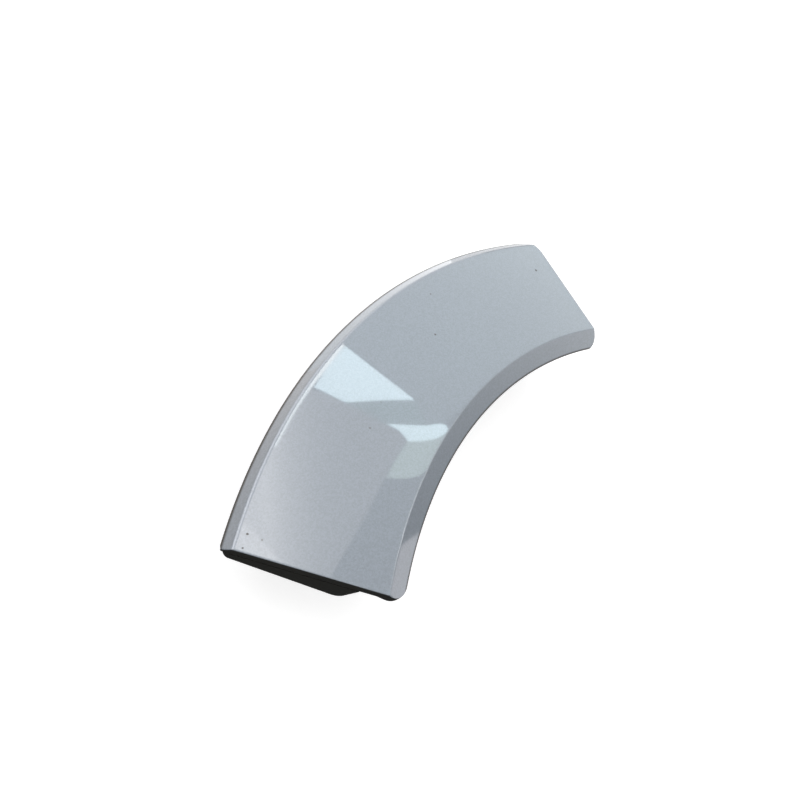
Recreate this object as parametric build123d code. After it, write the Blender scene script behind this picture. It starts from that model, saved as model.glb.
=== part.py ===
from build123d import *
from math import cos, degrees, hypot, radians, sin
import os

# Pull handle for the round door of a front-loading washing machine.
# An arc-shaped lever with a silver cover lies on a black base that is screwed to the door ring.
# Pulling the inner edge turns the lever about a pin near its outer edge, and a finger on the
# lever swings the latch hook out of the lock.
#
# The shapes are drawn about the door's own axis: a radius r from that axis, an angle from the
# middle of the arc (positive towards +X), and a height z above the door face.
# The finished pieces are then moved so that the origin lies between the two fixing screws,
# on the flat back. +X runs along the handle, +Y to its outer edge, +Z out of the door.

# Lever outline
OUTER_R = 200.0  # outer lower edge of the silver cover, from the door's axis
HALF_ANGLE = 27.2  # half of the arc that the handle covers, degrees
OUTER_EDGE_Z = 3.2  # height of the cover's outer lower edge above the door face
CREST_IN = 2.6  # how far the outer bevel leans in before the face begins
CREST_Z = 6.0
FACE_WIDTH = 41.1  # silver face, from the crest to the crease
FACE_RISE = 6.2  # how much the face rises over that width
GRIP_BEVEL_WIDTH = 6.8  # bevel that falls away along the inner edge
GRIP_BEVEL_DROP = 3.4
CREST_FILLET = 1.6
CREASE_FILLET = 0.5
OUTER_FAR_CORNER = 7.0  # corner roundings in plan, far end is +X
INNER_FAR_CORNER = 4.5
INNER_NEAR_CORNER = 6.0
OUTER_NEAR_CORNER = 1.0

# Lever build
COVER_WALL = 1.2
COVER_LIP = 0.25  # thin silver edge left over the black rim at the two ends
END_RIM = 1.8  # width of that black rim
FIT_GAP = 0.05  # between the cover and its frame
FLANGE_SET_BACK = 0.4  # the frame's outer flange, behind the cover's outer edge
FLANGE_THICK = 0.45
GRIP_BEAD_SET_BACK = 0.4  # bead behind the grip bevel, back from the cover's inner edge
GRIP_BEAD_LEAD = 1.7  # the bead starts this far outside the crease
RIB_THICK = 1.2
RIB_DEPTH_GAP = 0.7  # the lever's ribs stop this far above the base's floor
LEVER_RIB_ANGLES = (13.0, 24.0)
LEVER_RIB_LENGTH = 13.0  # outwards from the rib that follows the arc

# Base
RUNNING_GAP = 0.4  # between lever and base, all round
BASE_SET_BACK = 1.6  # base's outer wall, behind the cover's outer edge
BASE_NEAR_CORNER = 2.0
BASE_WALL = 1.8
BASE_FLOOR = 1.6
GRIP_WALL_IN = 35.1  # foot of the steep wall behind the fingers, from the outer edge
GRIP_WALL_LEAN = 2.4
GRIP_WALL_THICK = 2.0
GRIP_FOOT_FILLET = 3.0
LEDGE_Z = 0.8  # floor left under the lever's outer edge where that edge dips
BASE_RIB_ANGLES = (16.8, 22.4, 25.6)
BASE_RIB_LENGTH = 16.5  # inwards from the middle of the outer wall

# Fixing screws, from behind through the door ring
FIXING_IN = 30.0  # from the outer edge
FIXING_ANGLE = 15.0
FIXING_HOLE_R = 1.4
FIXING_HOLE_DEPTH = 5.5
FIXING_BOSS_R = 3.5

# Hub behind the base that goes through the door ring, with the hinge in it
PIVOT_IN = 11.5  # hinge line, from the outer edge at the arc's middle
PIVOT_Z = -2.0
HUB_HALF_LENGTH = 34.0
HUB_DEPTH = 9.0
HUB_WALL = 2.0
HUB_FLOOR = 1.6
HUB_EAR = 3.0  # thickness of the hub's end walls that carry the pivot pin
HUB_EAR_GAP = 1.1  # between the lever's ears and the hub's outer wall
HUB_CORNER = 2.5
DIP_CUT_GAP = 0.6  # beyond the hub the base ends on a straight line, where the lever dips lowest

# Pins
PIN_R = 1.5
PIN_CLEARANCE = 0.05
PIN_HEAD_R = 2.5
PIN_HEAD = 1.0
PIN_SEAT_GAP = 0.1
CLIP_THICK = 0.7
CLIP_R = 2.9
CLIP_SLOT = 1.9
GROOVE_R = 1.15
GROOVE_SIDE = 0.1
PIN_TAIL = 1.0  # pin beyond its clip
PIN_TIP_BEVEL = 0.4
PIN_WINDOW_GAP = 0.5  # room in the base round the ends of the pivot pin

# Lever ears and finger
EAR_R = 2.8
EAR_X = 24.0
EAR_THICK = 4.0
FINGER_START_GAP = 0.5  # between the finger's foot and the hook's eye
FINGER_THICK = 3.0
FINGER_WIDTH = 6.0
FINGER_TIP_Z = -13.0
FINGER_FOOT = 2.0  # height of the foot at the finger's tip that touches the hook
FINGER_RELIEF = 0.8  # how far the finger stands back above its foot

# Latch hook and its sleeve
HOOK_IN = 14.0  # hook's pin, inwards from the hinge line
HOOK_Z = -4.0
HOOK_WIDTH = 6.0
HOOK_EYE_R = 3.2
HOOK_ARM = 5.0
HOOK_LENGTH = 24.5  # from its pin to its tip
HOOK_NOSE = 8.0  # how far the nose reaches outwards from the arm
HOOK_NOSE_DEPTH = 5.2
HOOK_NOSE_EDGE = 1.5
HOOK_NOSE_UNDERCUT = 0.4  # how far the nose leans back towards its throat
HOOK_TIP_RISE = 1.0
HOOK_FILLET = 0.8
HOOK_NOSE_FILLET = 0.5
SLEEVE_HALF_WIDTH = 7.0
SLEEVE_HOOK_GAP = 2.3
SLEEVE_FINGER_GAP = 2.0
SLEEVE_WALL = 2.0
SLEEVE_TOP_Z = -0.6
SLEEVE_DEPTH = 14.0
LUG_TOP = 5.0  # the lug that the hook's spring pushes, below the hook's pin
LUG_HEIGHT = 2.5
LUG_THICK = 1.8
LUG_REACH = 3.4

# Springs
WIRE_SIDES = 6  # flats round the wire, which keep the coils light
RETURN_WIRE_R = 0.4
RETURN_COIL_R = 2.6
RETURN_PITCH = 0.9
RETURN_TURNS = 3
RETURN_X = 17.5
RETURN_LEVER_LEG = 7.0
RETURN_LEVER_LEG_RISE = 18.0  # degrees
RETURN_BASE_LEG_DROP = 60.0  # degrees
HOOK_WIRE_R = 0.35
HOOK_COIL_R = 2.5
HOOK_PITCH = 0.75
HOOK_TURNS = 2
HOOK_SPRING_X = 4.1
HOOK_SPRING_LEG = 8.5
HOOK_SPRING_REST_LEG = 11.3
HOOK_SPRING_REST_RISE = 8.0  # degrees
SPRING_SEAT_GAP = 0.1

# Screws that hold the cover on its frame
COVER_SCREW_IN = 22.0  # from the outer edge
COVER_SCREW_ANGLES = (-20.0, -9.0, 9.0, 20.0)
SCREW_SHANK_R = 1.0
SCREW_LENGTH = 3.3
SCREW_HEAD_R = 2.0
SCREW_HEAD = 1.3
SCREW_HEAD_BEVEL = 0.45
SCREW_CROSS = 2.4
SCREW_CROSS_WIDTH = 0.5
SCREW_CROSS_DEPTH = 0.7
SCREW_CLEARANCE = 0.03  # between a screw's core and the cover's boss
SCREW_SIDE_GAP = 0.15  # round a screw where it passes the frame
COVER_BOSS_R = 2.5
COVER_BOSS_LENGTH = 2.2
CUP_WALL = 1.1
CUP_FLOOR = 1.0

# Rubber buffers that the closed lever rests on
BUFFER_IN = 30.5  # from the outer edge
BUFFER_ANGLE = 21.0
BUFFER_HEAD_R = 3.0
BUFFER_HEAD = 1.2
BUFFER_STEM_R = 1.2
BUFFER_STEM = 2.4
BUFFER_ROOT = 0.5  # how far the stem reaches into the sloped head
BUFFER_GAP = 0.3

# Room for cuts and blanks
CLEAR_OVER = 10.0  # how far tall blanks stand over the crease
CUT_OVER = 1.0  # how far a cut runs past the face that it opens
MASK_OVER = 1.0  # degrees by which a trimming wedge is longer than the arc

# Worked out from the sizes above
CREST_R = OUTER_R - CREST_IN
CREASE_R = CREST_R - FACE_WIDTH
CREASE_Z = CREST_Z + FACE_RISE
INNER_R = CREASE_R - GRIP_BEVEL_WIDTH
INNER_EDGE_Z = CREASE_Z - GRIP_BEVEL_DROP
FLANGE_R = OUTER_R - FLANGE_SET_BACK
UNDER_Z = OUTER_EDGE_Z - FIT_GAP - FLANGE_THICK
UNDER_SLOPE = FACE_RISE / FACE_WIDTH
BASE_R = OUTER_R - BASE_SET_BACK
GRIP_WALL_FOOT_R = OUTER_R - GRIP_WALL_IN
COVER_SCREW_R = OUTER_R - COVER_SCREW_IN
RING_RIB_R = COVER_SCREW_R
BUFFER_R = OUTER_R - BUFFER_IN
FIXING_R = OUTER_R - FIXING_IN
FIXING_Y = FIXING_R * cos(radians(FIXING_ANGLE))
PIVOT_Y = OUTER_R - PIVOT_IN
HOOK_Y = PIVOT_Y - HOOK_IN
FINGER_Y = HOOK_Y + HOOK_EYE_R + FINGER_START_GAP  # face that pushes the hook
SLEEVE_INNER_Y = HOOK_Y - HOOK_EYE_R - SLEEVE_HOOK_GAP
SLEEVE_OUTER_Y = FINGER_Y + FINGER_RELIEF + FINGER_THICK + SLEEVE_FINGER_GAP
HUB_INNER_Y = SLEEVE_INNER_Y - SLEEVE_WALL
HUB_OUTER_Y = PIVOT_Y + EAR_R + HUB_EAR_GAP + HUB_WALL
HUB_FLOOR_Z = HUB_FLOOR - HUB_DEPTH
DIP_CUT_Y = HUB_OUTER_Y + DIP_CUT_GAP
CLEAR_HEIGHT = CREASE_Z + CLEAR_OVER
CLEAR_DEPTH = SLEEVE_DEPTH + HOOK_LENGTH
PART_ORIGIN = Pos(0, -FIXING_Y, 0)

os.makedirs("parts", exist_ok=True)


def polar(radius, angle):
    """Point in plan at a radius from the door's axis and an angle from the arc's middle."""
    return (radius * sin(radians(angle)), radius * cos(radians(angle)))


def under_z(radius):
    """Height of the lever frame's straight underside at a radius."""
    return UNDER_Z + UNDER_SLOPE * (FLANGE_R - radius)


def rounded(face, corners):
    """Flat face with each (point, radius) corner rounded."""
    for point, radius in corners:
        face = fillet(face.vertices().sort_by_distance(point)[0], radius)
    return face


def ring(points, half=HALF_ANGLE, fillets=()):
    """Section of (r, z) points turned about the door's axis over the arc."""
    face = rounded(make_face(Polyline(*points, close=True)), fillets)
    section = Rot(0, 0, -half) * (Plane.YZ * face)
    return revolve(section, Axis.Z, 2 * half)


def across(sketch, x, thickness):
    """Sketch in (y, z) made a plate of a thickness from x towards +X."""
    return extrude(Plane.YZ.offset(x) * sketch, thickness)


def block(x_range, y_range, z_range):
    """Straight block between two corners."""
    size = [high - low for low, high in (x_range, y_range, z_range)]
    middle = [(high + low) / 2 for low, high in (x_range, y_range, z_range)]
    return Pos(*middle) * Box(*size)


def post(radius, at_r, angle, z_low, z_high):
    """Round post that stands at a plan point."""
    x, y = polar(at_r, angle)
    return Pos(x, y, z_low) * Cylinder(
        radius, z_high - z_low, align=(Align.CENTER, Align.CENTER, Align.MIN)
    )


def radial_rib(angle, r_from, r_to):
    """Upright rib along a radius, tall enough to be trimmed by what it joins."""
    length = r_to - r_from
    middle = (r_from + r_to) / 2
    rib = Pos(0, middle, 0) * Box(RIB_THICK, length, 2 * CLEAR_HEIGHT)
    return Rot(0, 0, -angle) * rib


def below_line(shape, drop, floor_z):
    """The part of a shape above floor_z that lies a drop below the lever's underside."""
    low_r, high_r = INNER_R - CUT_OVER, OUTER_R + CUT_OVER
    mask = ring(
        [
            (low_r, floor_z),
            (high_r, floor_z),
            (high_r, under_z(high_r) - drop),
            (low_r, under_z(low_r) - drop),
        ],
        HALF_ANGLE + MASK_OVER,
    )
    return shape & mask


def inset(points, distance):
    """Open outline moved by a distance to the left of its direction, into the lever."""
    lines = []
    for (r0, z0), (r1, z1) in zip(points, points[1:]):
        length = hypot(r1 - r0, z1 - z0)
        along = ((r1 - r0) / length, (z1 - z0) / length)
        shift = (-along[1] * distance, along[0] * distance)
        lines.append(((r0 + shift[0], z0 + shift[1]), along, length))
    result = [lines[0][0]]
    for (p, d, _), (q, e, _) in zip(lines, lines[1:]):
        cross = d[0] * e[1] - d[1] * e[0]
        t = ((q[0] - p[0]) * e[1] - (q[1] - p[1]) * e[0]) / cross
        result.append((p[0] + d[0] * t, p[1] + d[1] * t))
    (r, z), along, length = lines[-1]
    result.append((r + along[0] * length, z + along[1] * length))
    return result


def at_height(start, end, z):
    """Point of height z on the line through two points."""
    t = (z - start[1]) / (end[1] - start[1])
    return (start[0] + (end[0] - start[0]) * t, z)


def towards(start, end, distance):
    """Point at a distance from start on the way to end."""
    length = hypot(end[0] - start[0], end[1] - start[1])
    return tuple(a + (b - a) * distance / length for a, b in zip(start, end))


OUTLINE = [
    (OUTER_R, OUTER_EDGE_Z),
    (CREST_R, CREST_Z),
    (CREASE_R, CREASE_Z),
    (INNER_R, INNER_EDGE_Z),
]


def arc_plan(outer_r, inner_r, corners):
    """Upright prism of an arc in plan, with (radius, angle, rounding) corners."""
    outer = ThreePointArc(polar(outer_r, -HALF_ANGLE), (0, outer_r), polar(outer_r, HALF_ANGLE))
    inner = ThreePointArc(polar(inner_r, HALF_ANGLE), (0, inner_r), polar(inner_r, -HALF_ANGLE))
    face = make_face([outer, Line(outer @ 1, inner @ 0), inner, Line(inner @ 1, outer @ 0)])
    face = rounded(face, [(polar(radius, angle), rounding) for radius, angle, rounding in corners])
    return extrude(Pos(0, 0, -CLEAR_DEPTH) * face, CLEAR_DEPTH + CLEAR_HEIGHT)


def lever_plan():
    """Plan of the lever, with its four rounded corners."""
    corners = (
        (OUTER_R, HALF_ANGLE, OUTER_FAR_CORNER),
        (INNER_R, HALF_ANGLE, INNER_FAR_CORNER),
        (INNER_R, -HALF_ANGLE, INNER_NEAR_CORNER),
        (OUTER_R, -HALF_ANGLE, OUTER_NEAR_CORNER),
    )
    return arc_plan(OUTER_R, INNER_R, corners)


def base_plan(set_back):
    """Plan of the base, set back evenly under the lever, with its two outer corners rounded."""
    outer_r = OUTER_R - set_back
    corners = (
        (outer_r, HALF_ANGLE, OUTER_FAR_CORNER - set_back),
        (outer_r, -HALF_ANGLE, BASE_NEAR_CORNER),
    )
    return arc_plan(outer_r, INNER_R, corners)


def end_rims(top_inset, bottom_inset, width):
    """The two end strips of the layer between two insets of the silver surface."""
    top, bottom = inset(OUTLINE, top_inset), inset(OUTLINE, bottom_inset)
    top[0] = at_height(top[0], top[1], OUTER_EDGE_Z)
    bottom[0] = at_height(bottom[0], bottom[1], OUTER_EDGE_Z)
    arc = degrees(width / OUTER_R)
    between = Rot(0, 0, arc) * lever_plan() & Rot(0, 0, -arc) * lever_plan()
    return ring(top + bottom[::-1]) - between


def front_cover():
    """Silver shell: bevelled outer edge, rising face, grip bevel and screw bosses."""
    under = inset(OUTLINE, COVER_WALL)
    under[0] = at_height(under[0], under[1], OUTER_EDGE_Z)
    fillets = (
        ((CREST_R, CREST_Z), CREST_FILLET),
        ((CREASE_R, CREASE_Z), CREASE_FILLET),
    )
    shell = ring(OUTLINE + under[::-1], HALF_ANGLE, fillets) & lever_plan()
    shell -= end_rims(COVER_LIP, COVER_WALL + FIT_GAP, END_RIM + FIT_GAP)
    for angle in COVER_SCREW_ANGLES:
        foot = cover_boss_z()
        boss = post(COVER_BOSS_R, COVER_SCREW_R, angle, foot, CLEAR_HEIGHT)
        solid = inset(OUTLINE, COVER_WALL / 2)
        boss &= ring(
            [(solid[1][0], 0), solid[1], solid[2], (solid[2][0], 0)],
            HALF_ANGLE,
        )
        shell += boss
        hole_r = SCREW_SHANK_R + SCREW_CLEARANCE
        tip = screw_seat_z() + SCREW_LENGTH + SCREW_CLEARANCE
        shell -= post(hole_r, COVER_SCREW_R, angle, foot - CUT_OVER, tip)
    return shell


def face_under_z(radius):
    """Height of the cover's underside at a radius."""
    under = inset(OUTLINE, COVER_WALL)
    slope = (under[2][1] - under[1][1]) / (under[2][0] - under[1][0])
    return under[1][1] + slope * (radius - under[1][0])


def cover_boss_z():
    """Height of the lower end of the cover's screw bosses."""
    return face_under_z(COVER_SCREW_R) - COVER_BOSS_LENGTH


def screw_seat_z():
    """Height of the frame face that a cover screw's head clamps."""
    return cover_boss_z() - FIT_GAP - CUP_FLOOR


def frame_plate():
    """Thin plate of the lever frame under the whole cover, with its two end rims."""
    top = inset(OUTLINE, COVER_WALL + FIT_GAP)
    flange_top = OUTER_EDGE_Z - FIT_GAP
    top[0] = at_height(top[0], top[1], flange_top)
    bead_r = CREASE_R + GRIP_BEAD_LEAD
    section = [
        (FLANGE_R, UNDER_Z),
        (FLANGE_R, flange_top),
        top[0],
        top[1],
        top[2],
        towards(top[3], top[2], GRIP_BEAD_SET_BACK),
        (bead_r, under_z(bead_r)),
    ]
    rims = end_rims(COVER_LIP + FIT_GAP, COVER_WALL + 3 * FIT_GAP, END_RIM)
    return (ring(section) + rims) & lever_plan()


def lever_ear(x):
    """Hinge ear under the frame plate."""
    tall = CLEAR_HEIGHT - PIVOT_Z
    stem = Pos(PIVOT_Y, PIVOT_Z + tall / 2) * Rectangle(2 * EAR_R, tall)
    return across(stem + Pos(PIVOT_Y, PIVOT_Z) * Circle(EAR_R), x, EAR_THICK)


def lever_frame():
    """Black inner frame of the lever: plate, ribs, hinge ears, screw cups and the finger."""
    rib_foot = BASE_FLOOR + RIB_DEPTH_GAP
    stiff = ring(
        [
            (RING_RIB_R - RIB_THICK / 2, rib_foot),
            (RING_RIB_R + RIB_THICK / 2, rib_foot),
            (RING_RIB_R + RIB_THICK / 2, CLEAR_HEIGHT),
            (RING_RIB_R - RIB_THICK / 2, CLEAR_HEIGHT),
        ],
        LEVER_RIB_ANGLES[-1],
    )
    for angle in LEVER_RIB_ANGLES:
        for side in (-angle, angle):
            stiff += radial_rib(side, RING_RIB_R, RING_RIB_R + LEVER_RIB_LENGTH)
    stiff = below_line(stiff, -FIT_GAP, rib_foot)
    hinge = lever_ear(EAR_X) + lever_ear(-EAR_X - EAR_THICK)
    width = (-FINGER_WIDTH / 2, FINGER_WIDTH / 2)
    back_y = FINGER_Y + FINGER_RELIEF + FINGER_THICK
    hinge += block(width, (FINGER_Y + FINGER_RELIEF, back_y), (FINGER_TIP_Z, CLEAR_HEIGHT))
    hinge += block(width, (FINGER_Y, back_y), (FINGER_TIP_Z, FINGER_TIP_Z + FINGER_FOOT))
    hinge = below_line(hinge, -FIT_GAP, -CLEAR_DEPTH)
    cup_r = COVER_BOSS_R + FIT_GAP + CUP_WALL
    for angle in COVER_SCREW_ANGLES:
        cup = post(cup_r, COVER_SCREW_R, angle, screw_seat_z(), CLEAR_HEIGHT)
        stiff += below_line(cup, -FIT_GAP, 0)
    frame = frame_plate() + stiff + hinge
    bore = Pos(PIVOT_Y, PIVOT_Z) * Circle(PIN_R + PIN_CLEARANCE)
    frame -= across(bore, -HUB_HALF_LENGTH, 2 * HUB_HALF_LENGTH)
    for angle in COVER_SCREW_ANGLES:
        well_r = COVER_BOSS_R + FIT_GAP
        frame -= post(well_r, COVER_SCREW_R, angle, cover_boss_z() - FIT_GAP, CLEAR_HEIGHT)
        frame -= post(SCREW_SHANK_R + SCREW_SIDE_GAP, COVER_SCREW_R, angle, 0, CLEAR_HEIGHT)
        frame -= post(SCREW_HEAD_R + 2 * SCREW_SIDE_GAP, COVER_SCREW_R, angle, 0, screw_seat_z())
    return frame


def cover_screw(angle):
    """Pan-head screw, driven from behind, with a cross recess."""
    seat = screw_seat_z()
    screw = post(SCREW_SHANK_R, COVER_SCREW_R, angle, seat - SCREW_HEAD / 2, seat + SCREW_LENGTH)
    head = post(SCREW_HEAD_R, COVER_SCREW_R, angle, seat - SCREW_HEAD, seat)
    screw += chamfer(head.edges().group_by(Axis.Z)[0], SCREW_HEAD_BEVEL)
    x, y = polar(COVER_SCREW_R, angle)
    deep = Pos(x, y, seat - SCREW_HEAD + SCREW_CROSS_DEPTH / 2)
    screw -= deep * Box(SCREW_CROSS, SCREW_CROSS_WIDTH, SCREW_CROSS_DEPTH)
    screw -= deep * Box(SCREW_CROSS_WIDTH, SCREW_CROSS, SCREW_CROSS_DEPTH)
    return screw


def base_tray():
    """Wedge-shaped tray: flat back, low outer wall, steep grip wall and end walls."""
    top_in = GRIP_WALL_FOOT_R - GRIP_WALL_LEAN
    outer = [
        (BASE_R, 0),
        (BASE_R, under_z(BASE_R) - RUNNING_GAP),
        (top_in, under_z(top_in) - RUNNING_GAP),
        (GRIP_WALL_FOOT_R, 0),
    ]
    body = ring(outer, HALF_ANGLE, (((GRIP_WALL_FOOT_R, 0), GRIP_FOOT_FILLET),))
    body &= base_plan(BASE_SET_BACK)
    hollow = [
        (BASE_R - BASE_WALL, BASE_FLOOR),
        (BASE_R - BASE_WALL, CLEAR_HEIGHT),
        (top_in + GRIP_WALL_THICK, CLEAR_HEIGHT),
        (top_in + GRIP_WALL_THICK, under_z(top_in) - RUNNING_GAP),
        (GRIP_WALL_FOOT_R + GRIP_WALL_THICK, BASE_FLOOR),
    ]
    end_wall = degrees(BASE_WALL / BASE_R)
    room = Rot(0, 0, end_wall) * base_plan(BASE_SET_BACK + BASE_WALL)
    return body - (ring(hollow, HALF_ANGLE - end_wall) & room)


def base_hub():
    """Box behind the tray that carries the hinge, open to the tray, with the hook's sleeve."""
    length = (-HUB_HALF_LENGTH, HUB_HALF_LENGTH)
    hub = block(length, (HUB_INNER_Y, HUB_OUTER_Y), (-HUB_DEPTH, BASE_FLOOR))
    return fillet(hub.edges().filter_by(Axis.Z), HUB_CORNER)


def hub_hollow():
    """Space inside the hub."""
    half = HUB_HALF_LENGTH - HUB_EAR
    return block(
        (-half, half),
        (HUB_INNER_Y + HUB_WALL, HUB_OUTER_Y - HUB_WALL),
        (HUB_FLOOR_Z, CLEAR_HEIGHT),
    )


def sleeve():
    """Square sleeve round the latch hook, and the space inside it."""
    half = SLEEVE_HALF_WIDTH
    y_range = (SLEEVE_INNER_Y, SLEEVE_OUTER_Y)
    outer = block(
        (-half - SLEEVE_WALL, half + SLEEVE_WALL),
        (y_range[0] - SLEEVE_WALL, y_range[1] + SLEEVE_WALL),
        (-SLEEVE_DEPTH, SLEEVE_TOP_Z),
    )
    hollow = block((-half, half), y_range, (-SLEEVE_DEPTH - CUT_OVER, CLEAR_HEIGHT))
    return outer, hollow


def base_housing():
    """Black base that is screwed to the door ring."""
    sleeve_outer, sleeve_hollow = sleeve()
    body = base_tray() + base_hub() - hub_hollow() + sleeve_outer - sleeve_hollow
    extras = []
    wall_r = BASE_R - BASE_WALL / 2
    for side in (-1, 1):
        fixing = post(FIXING_BOSS_R, FIXING_R, side * FIXING_ANGLE, 0, CLEAR_HEIGHT)
        extras.append(below_line(fixing, RUNNING_GAP, 0))
        pad = post(BUFFER_HEAD_R, BUFFER_R, side * BUFFER_ANGLE, 0, CLEAR_HEIGHT)
        extras.append(below_line(pad, BUFFER_GAP + BUFFER_HEAD, 0))
        for angle in BASE_RIB_ANGLES:
            rib = radial_rib(side * angle, wall_r - BASE_RIB_LENGTH, wall_r)
            extras.append(below_line(rib, 2 * RUNNING_GAP, BASE_FLOOR / 2))
    body += extras
    for side in (-1, 1):
        body -= post(FIXING_HOLE_R, FIXING_R, side * FIXING_ANGLE, -CUT_OVER, FIXING_HOLE_DEPTH)
        stem_r = BUFFER_STEM_R + FIT_GAP
        body -= post(stem_r, BUFFER_R, side * BUFFER_ANGLE, buffer_foot_z(), CLEAR_HEIGHT)
    for y, z, reach in ((PIVOT_Y, PIVOT_Z, HUB_HALF_LENGTH), (HOOK_Y, HOOK_Z, sleeve_half())):
        hole = Pos(y, z) * Circle(PIN_R + PIN_CLEARANCE)
        body -= across(hole, -reach - CUT_OVER, 2 * (reach + CUT_OVER))
    pin_end = HUB_HALF_LENGTH + PIN_SEAT_GAP + CLIP_THICK + PIN_TAIL + PIN_WINDOW_GAP
    beside = (PIVOT_Y - CLIP_R - PIN_WINDOW_GAP, PIVOT_Y + CLIP_R + PIN_WINDOW_GAP)
    for x_range in ((-pin_end, -HUB_HALF_LENGTH), (HUB_HALF_LENGTH, pin_end)):
        body -= block(x_range, beside, (-CUT_OVER, BASE_FLOOR + CUT_OVER))
    wide = (-OUTER_R, OUTER_R)
    body -= block(wide, (PIVOT_Y, OUTER_R + CUT_OVER), (LEDGE_Z, CLEAR_HEIGHT))
    body -= block(wide, (DIP_CUT_Y, OUTER_R + CUT_OVER), (-CUT_OVER, CLEAR_HEIGHT))
    return body


def sleeve_half():
    """Half of the sleeve's outer width."""
    return SLEEVE_HALF_WIDTH + SLEEVE_WALL


def buffer_foot_z():
    """Height of the lower end of a buffer's stem."""
    return under_z(BUFFER_R) - BUFFER_GAP - BUFFER_HEAD - BUFFER_STEM


def stop_buffer(side):
    """Rubber buffer: a head with a sloped top on a stem pressed into its post."""
    angle = side * BUFFER_ANGLE
    head = post(BUFFER_HEAD_R, BUFFER_R, angle, 0, CLEAR_HEIGHT)
    head = below_line(head, BUFFER_GAP, 0) - below_line(head, BUFFER_GAP + BUFFER_HEAD, 0)
    stem_top = buffer_foot_z() + BUFFER_STEM + BUFFER_ROOT
    stem = post(BUFFER_STEM_R, BUFFER_R, angle, buffer_foot_z() + FIT_GAP, stem_top)
    return head + stem


def headed_pin(y, z, half_span):
    """Pin across a part, with a head at its -X end and a groove for a clip at the other."""
    head_x = -half_span - PIN_SEAT_GAP - PIN_HEAD
    clip_x = half_span + PIN_SEAT_GAP
    end_x = clip_x + CLIP_THICK + PIN_TAIL
    spot = Pos(y, z)
    pin = across(spot * Circle(PIN_R), head_x, end_x - head_x)
    pin += across(spot * Circle(PIN_HEAD_R), head_x, PIN_HEAD)
    groove = spot * (Circle(PIN_R + CUT_OVER) - Circle(GROOVE_R))
    pin -= across(groove, clip_x - GROOVE_SIDE, CLIP_THICK + 2 * GROOVE_SIDE)
    tip = pin.faces().sort_by(Axis.X)[-1]
    return chamfer(tip.edges(), PIN_TIP_BEVEL)


def pin_clip(y, z, half_span):
    """Open retaining clip that sits in the pin's groove."""
    spot = Pos(y, z)
    shape = spot * (Circle(CLIP_R) - Circle(GROOVE_R + FIT_GAP))
    shape -= Pos(y - CLIP_R, z) * Rectangle(2 * CLIP_R, CLIP_SLOT)
    return across(shape, half_span + PIN_SEAT_GAP, CLIP_THICK)


def torsion_spring(y, z, x, coil_r, wire_r, pitch, start, sweep_angle, start_leg, end_leg):
    """Coil about a line along X with a straight leg at each end.

    Angles are in degrees from +Y towards +Z. The first leg runs back along the coil's
    tangent at its start, the second runs on along the tangent at its end.
    """
    coil = Edge.make_helix(pitch, pitch * sweep_angle / 360, coil_r, (0, 0, 0), (0, 0, 1))
    coil = Pos(x, y, z) * Plane.YZ.location * Rot(0, 0, start) * coil
    first = Line(coil @ 0 - (coil % 0) * start_leg, coil @ 0)
    last = Line(coil @ 1, coil @ 1 + (coil % 1) * end_leg)
    path = Wire([first, coil, last])
    section = Plane(first @ 0, z_dir=first % 0) * RegularPolygon(wire_r, WIRE_SIDES)
    return sweep(section, path, is_frenet=True)


def return_spring():
    """Torsion spring on the pivot pin that closes the lever."""
    start = 90 + RETURN_LEVER_LEG_RISE
    end = 90 + RETURN_BASE_LEG_DROP
    exit_z = PIVOT_Z + RETURN_COIL_R * sin(radians(end))
    fall = exit_z - HUB_FLOOR_Z - RETURN_WIRE_R - SPRING_SEAT_GAP
    return torsion_spring(
        PIVOT_Y,
        PIVOT_Z,
        RETURN_X,
        RETURN_COIL_R,
        RETURN_WIRE_R,
        RETURN_PITCH,
        start,
        360 * RETURN_TURNS + end - start,
        RETURN_LEVER_LEG,
        fall / sin(radians(RETURN_BASE_LEG_DROP)),
    )


def hook_spring():
    """Torsion spring on the hook's pin that swings the hook outwards."""
    start = 90 + HOOK_SPRING_REST_RISE
    return torsion_spring(
        HOOK_Y,
        HOOK_Z,
        HOOK_SPRING_X,
        HOOK_COIL_R,
        HOOK_WIRE_R,
        HOOK_PITCH,
        start,
        360 * HOOK_TURNS + 180 - start,
        HOOK_SPRING_REST_LEG,
        HOOK_SPRING_LEG,
    )


def latch_hook():
    """Cast hook: eye on its pin, straight arm, nose with a sloped lead-in, spring lug."""
    back_y = HOOK_Y + HOOK_EYE_R
    front_y = back_y - HOOK_ARM
    tip_z = HOOK_Z - HOOK_LENGTH
    nose_z = tip_z + HOOK_NOSE_DEPTH
    nose_y = back_y + HOOK_NOSE
    tip = (front_y, tip_z + HOOK_TIP_RISE)
    lead_in = (back_y, tip_z)
    nose_low, nose_high = (nose_y, nose_z - HOOK_NOSE_EDGE), (nose_y, nose_z)
    throat = (back_y, nose_z + HOOK_NOSE_UNDERCUT)
    front, back = (front_y, HOOK_Z), (back_y, HOOK_Z)
    outline = Polyline(front, tip, lead_in, nose_low, nose_high, throat, back, close=True)
    corners = [(point, HOOK_FILLET) for point in (tip, lead_in, throat)]
    corners += [(point, HOOK_NOSE_FILLET) for point in (nose_low, nose_high)]
    arm = rounded(make_face(outline), corners)
    side = arm + Pos(HOOK_Y, HOOK_Z) * Circle(HOOK_EYE_R)
    side -= Pos(HOOK_Y, HOOK_Z) * Circle(PIN_R + PIN_CLEARANCE)
    lug_top = HOOK_Z - LUG_TOP
    lug = block(
        (0, HOOK_WIDTH / 2 + LUG_REACH),
        (front_y, front_y + LUG_THICK),
        (lug_top - LUG_HEIGHT, lug_top),
    )
    return across(side, -HOOK_WIDTH / 2, HOOK_WIDTH) + lug


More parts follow.
